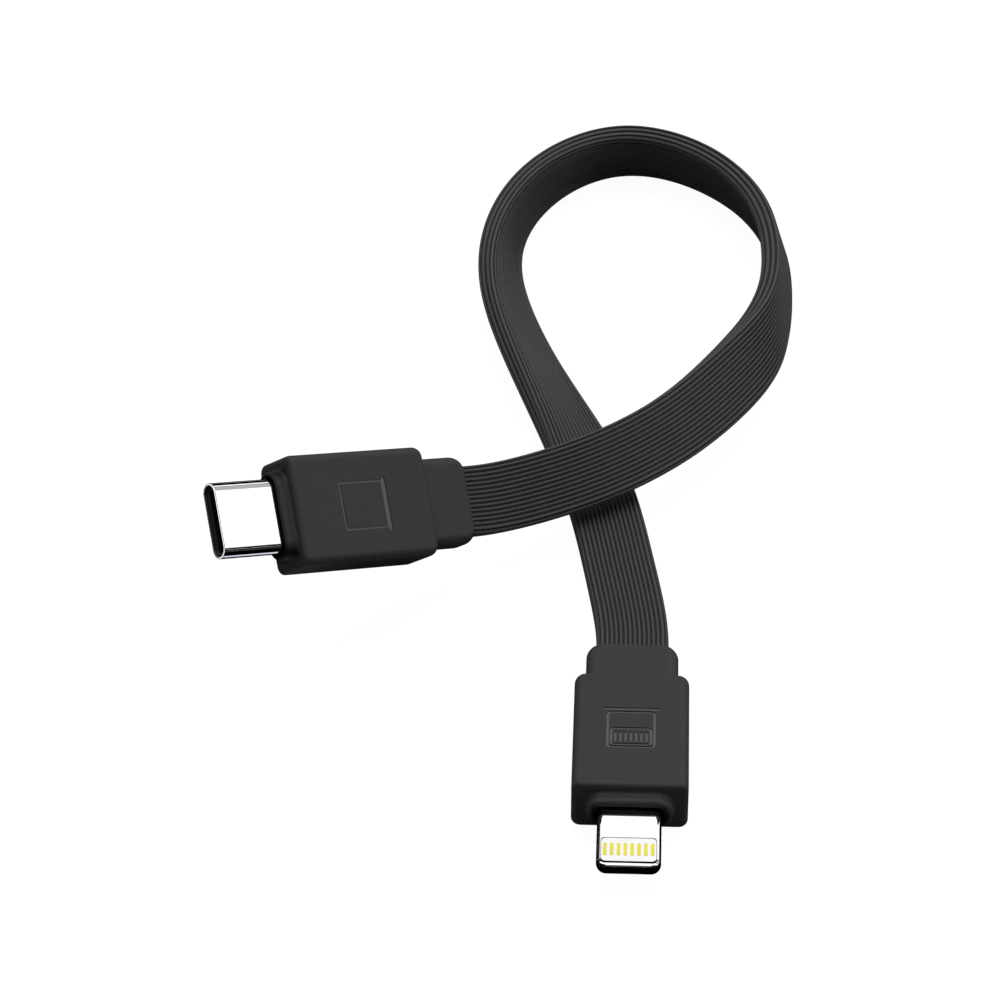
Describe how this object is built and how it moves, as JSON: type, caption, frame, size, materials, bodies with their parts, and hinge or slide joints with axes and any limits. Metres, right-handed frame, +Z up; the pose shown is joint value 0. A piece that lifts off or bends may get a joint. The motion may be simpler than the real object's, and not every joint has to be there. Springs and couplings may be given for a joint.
{
  "type": "charging cable",
  "caption": "Short flat ribbed charging cable with a moulded oval plug and a moulded blade plug, lying in one open loop.",
  "frame": {"origin": "centre of the blade plug body's flat underside, on the surface that the cable lies on", "axes": "+Z up from that surface, -Y out of the blade plug's nose, +X to the blade plug's right seen from above with its nose towards the viewer"},
  "size_m": [0.0644, 0.1299, 0.0223],
  "materials": {
    "ribbon_elastomer": "fine ribs, matt",
    "moulded_elastomer": "fine spark-eroded texture, matt",
    "power_wire": "insulated strands",
    "ground_wire": "insulated strands",
    "data_wire_a": "insulated strands",
    "data_wire_b": "insulated strands",
    "hot_melt": "satin, slightly waxy",
    "can_steel": "stamped sheet",
    "board_laminate": "solder mask",
    "chip_epoxy": "matt",
    "capacitor_ceramic": "matt with tinned ends",
    "solder": "bright, smooth",
    "bright_shell": "polished nickel plate",
    "black_core": "smooth",
    "panel_plastic": "smooth",
    "gold_contact": "gold plate"
  },
  "bodies": {
    "cable": {"ribbon_jacket": "ribbon_elastomer", "power_core": "power_wire", "ground_core": "ground_wire", "data_core_a": "data_wire_a", "data_core_b": "data_wire_b", "oval_overmould": "moulded_elastomer", "oval_inner_mould": "hot_melt", "oval_can_upper": "can_steel", "oval_can_lower": "can_steel", "oval_board": "board_laminate", "oval_chip": "chip_epoxy", "oval_capacitors": "capacitor_ceramic", "oval_solder": "solder", "oval_shell": "bright_shell", "oval_housing": "black_core", "upper_tails": "gold_contact", "lower_tails": "gold_contact", "latch_plate": "can_steel", "upper_ground_spring": "can_steel", "lower_ground_spring": "can_steel", "blade_overmould": "moulded_elastomer", "blade_inner_mould": "hot_melt", "blade_can_upper": "can_steel", "blade_can_lower": "can_steel", "blade_board": "board_laminate", "blade_chip": "chip_epoxy", "blade_capacitors": "capacitor_ceramic", "blade_solder": "solder", "blade_frame": "bright_shell", "blade_insert": "panel_plastic", "blade_contacts_top": "gold_contact", "blade_contacts_bottom": "gold_contact"},
    "upper_contact_row": {"upper_contacts": "gold_contact"},
    "lower_contact_row": {"lower_contacts": "gold_contact"},
    "left_latch": {"latch_arm_left": "can_steel"},
    "right_latch": {"latch_arm_right": "can_steel"}
  },
  "joints": [
    {"name": "upper_contact_flex", "type": "hinge", "parent": "cable", "child": "upper_contact_row", "pos_m": [-0.03869, 0.02039, 0.01722], "axis": [-0.2046, 0.715, 0.6686], "range_deg": [0, 2], "stiffness_Nm_per_rad": 0.002},
    {"name": "lower_contact_flex", "type": "hinge", "parent": "cable", "child": "lower_contact_row", "pos_m": [-0.03942, 0.02096, 0.01639], "axis": [0.2046, -0.715, -0.6686], "range_deg": [0, 2], "stiffness_Nm_per_rad": 0.002},
    {"name": "left_latch_flex", "type": "hinge", "parent": "cable", "child": "left_latch", "pos_m": [-0.03778, 0.01853, 0.01422], "axis": [0.5863, -0.4575, 0.6686], "range_deg": [0, 1.7], "stiffness_Nm_per_rad": 0.001},
    {"name": "right_latch_flex", "type": "hinge", "parent": "cable", "child": "right_latch", "pos_m": [-0.03922, 0.02356, 0.01893], "axis": [-0.5863, 0.4575, -0.6686], "range_deg": [0, 1.7], "stiffness_Nm_per_rad": 0.001}
  ]
}
